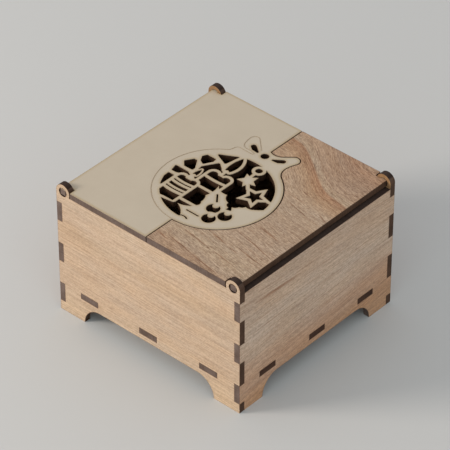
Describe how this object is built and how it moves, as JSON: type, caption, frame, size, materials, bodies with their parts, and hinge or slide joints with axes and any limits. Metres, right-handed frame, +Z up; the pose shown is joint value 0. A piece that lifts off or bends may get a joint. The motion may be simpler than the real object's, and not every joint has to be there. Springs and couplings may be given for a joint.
{
  "type": "two-flap gift box",
  "caption": "Slotted sheet-board gift box on arched feet, with two hinged top flaps and a fretwork bauble cut across their seam.",
  "frame": {"origin": "on the surface that the four feet stand on, under the middle of the box", "axes": "+X to the wood flap's side, along the front wall; +Y to the back wall; +Z up"},
  "size_m": [0.105, 0.1, 0.0699],
  "materials": {
    "wall_board": "matt light oak foil on fibreboard, with scorched brown cut edges",
    "floor_board": "bare brown fibreboard, with scorched cut edges",
    "cream_board": "matt cream foil on fibreboard, with scorched brown cut edges",
    "lid_board": "matt brown oak foil on fibreboard, with scorched brown cut edges"
  },
  "bodies": {
    "carcass": {"front_wall": "wall_board", "back_wall": "wall_board", "left_wall": "wall_board", "right_wall": "wall_board", "floor_panel": "floor_board"},
    "cream_lid": {"cream_flap": "cream_board"},
    "wood_lid": {"wood_flap": "lid_board"}
  },
  "joints": [
    {"name": "cream_flap_hinge", "type": "hinge", "parent": "carcass", "child": "cream_lid", "pos_m": [-0.0486, 0, 0.066], "axis": [0, -1, 0], "range_deg": [0, 188]},
    {"name": "wood_flap_hinge", "type": "hinge", "parent": "carcass", "child": "wood_lid", "pos_m": [0.0486, 0, 0.066], "axis": [0, 1, 0], "range_deg": [0, 188]}
  ]
}
